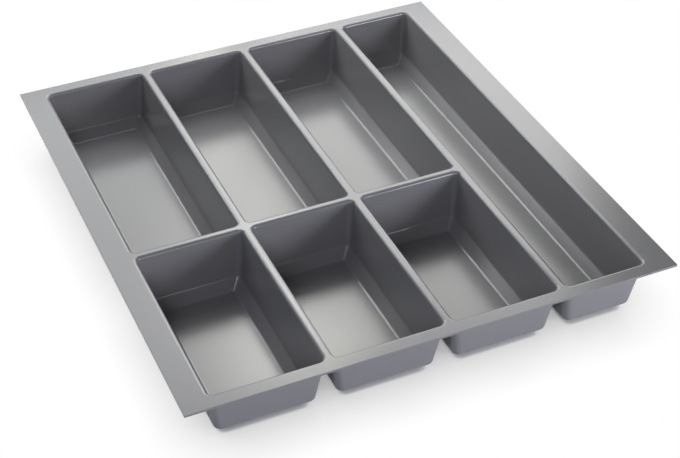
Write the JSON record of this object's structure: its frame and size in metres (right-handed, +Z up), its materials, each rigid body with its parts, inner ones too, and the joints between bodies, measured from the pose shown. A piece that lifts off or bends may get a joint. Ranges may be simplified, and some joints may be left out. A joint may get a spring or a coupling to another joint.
{
  "type": "cutlery tray",
  "caption": "Open-top drawer insert with a flat rim around tapered, flat-floored pockets that keep cutlery and utensils apart.",
  "frame": {"origin": "middle of the footprint, on the plane of the pockets' undersides, where the tray stands", "axes": "+Z up, +Y to the back, +X to the right where the long pocket is"},
  "size_m": [0.42, 0.472, 0.0525],
  "materials": {
    "sheet_plastic": "satin, very fine grain, mid grey"
  },
  "bodies": {
    "root": {"tray": "sheet_plastic"}
  },
  "joints": []
}
